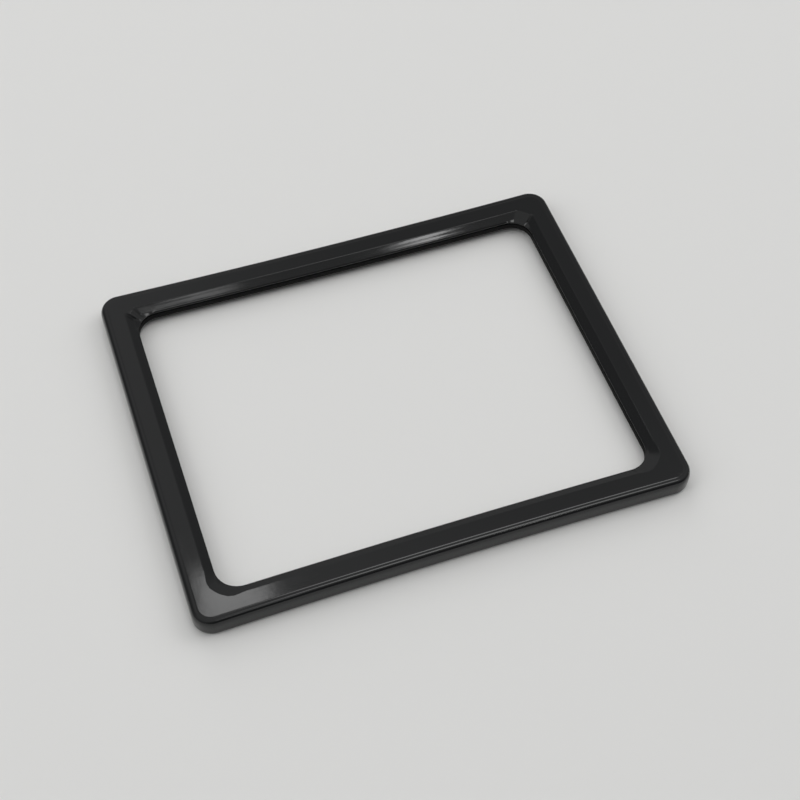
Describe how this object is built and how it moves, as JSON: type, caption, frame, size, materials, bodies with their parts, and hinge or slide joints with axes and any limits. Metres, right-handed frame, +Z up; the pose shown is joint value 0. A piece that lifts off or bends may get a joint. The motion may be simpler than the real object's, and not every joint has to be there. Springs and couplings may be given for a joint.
{
  "type": "negative carrier",
  "caption": "Glassless negative carrier for sheet film: a glossy black upper frame with a large window drops over a base frame that holds the film.",
  "frame": {"origin": "centre of the window, on the surface that the carrier lies on", "axes": "+X along the long side, +Y along the short side, +Z up, out of the upper frame's face"},
  "size_m": [0.1364, 0.109, 0.0057],
  "materials": {
    "upper_plastic": "glossy moulded black plastic with a faint orange-peel surface",
    "base_plastic": "satin moulded black plastic"
  },
  "bodies": {
    "base": {"base_frame": "base_plastic"},
    "upper": {"upper_frame": "upper_plastic"}
  },
  "joints": [
    {"name": "upper_frame_lift", "type": "slide", "parent": "base", "child": "upper", "axis": [0, 0, 1], "range_m": [0, 0.012]}
  ]
}
